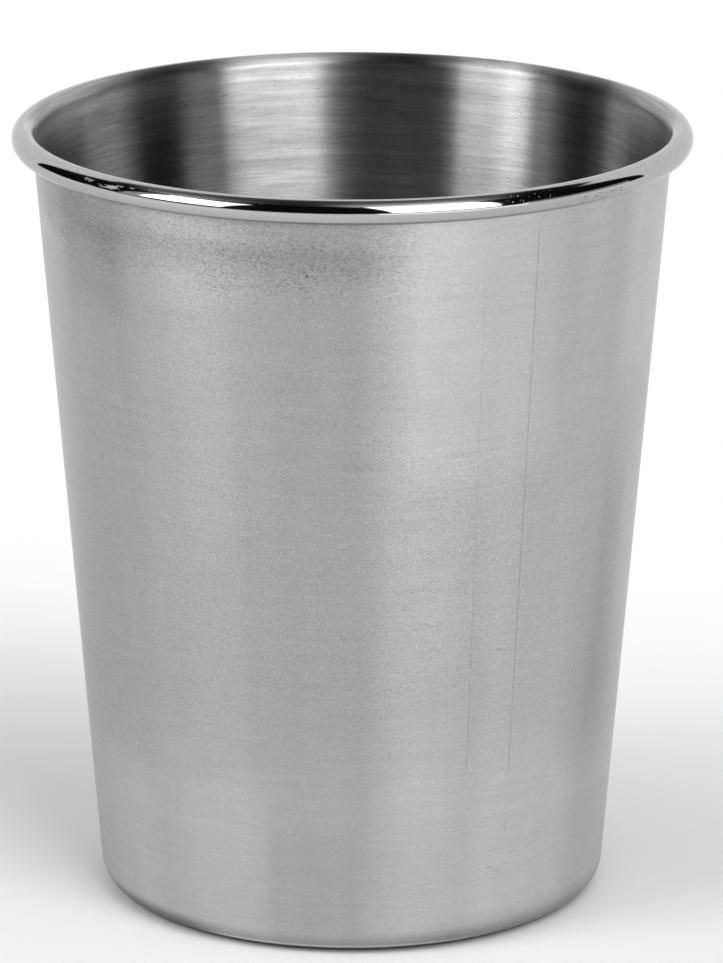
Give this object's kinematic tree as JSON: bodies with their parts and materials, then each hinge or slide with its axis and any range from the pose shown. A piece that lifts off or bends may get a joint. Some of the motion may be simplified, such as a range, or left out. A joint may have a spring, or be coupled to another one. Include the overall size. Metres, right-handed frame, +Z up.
{
  "type": "stainless steel cup",
  "caption": "Tapered round drinking cup of thin drawn steel sheet, with a rolled rim, a rounded heel and a recessed base that stands on a flat ring.",
  "frame": {"origin": "on the cup's axis, on the plane of the flat ring that it stands on", "axes": "+Z up along the cup's axis, from the base to the mouth; the cup is round about Z, so X and Y are free"},
  "size_m": [0.086, 0.086, 0.1],
  "materials": {
    "base_steel": "plain drawn stainless steel, fine circular grain",
    "wall_steel": "satin stainless steel outside, brushed round the axis inside",
    "rim_steel": "polished bright stainless steel"
  },
  "bodies": {
    "root": {"base_panel": "base_steel", "side_wall": "wall_steel", "rolled_rim": "rim_steel"}
  },
  "joints": []
}
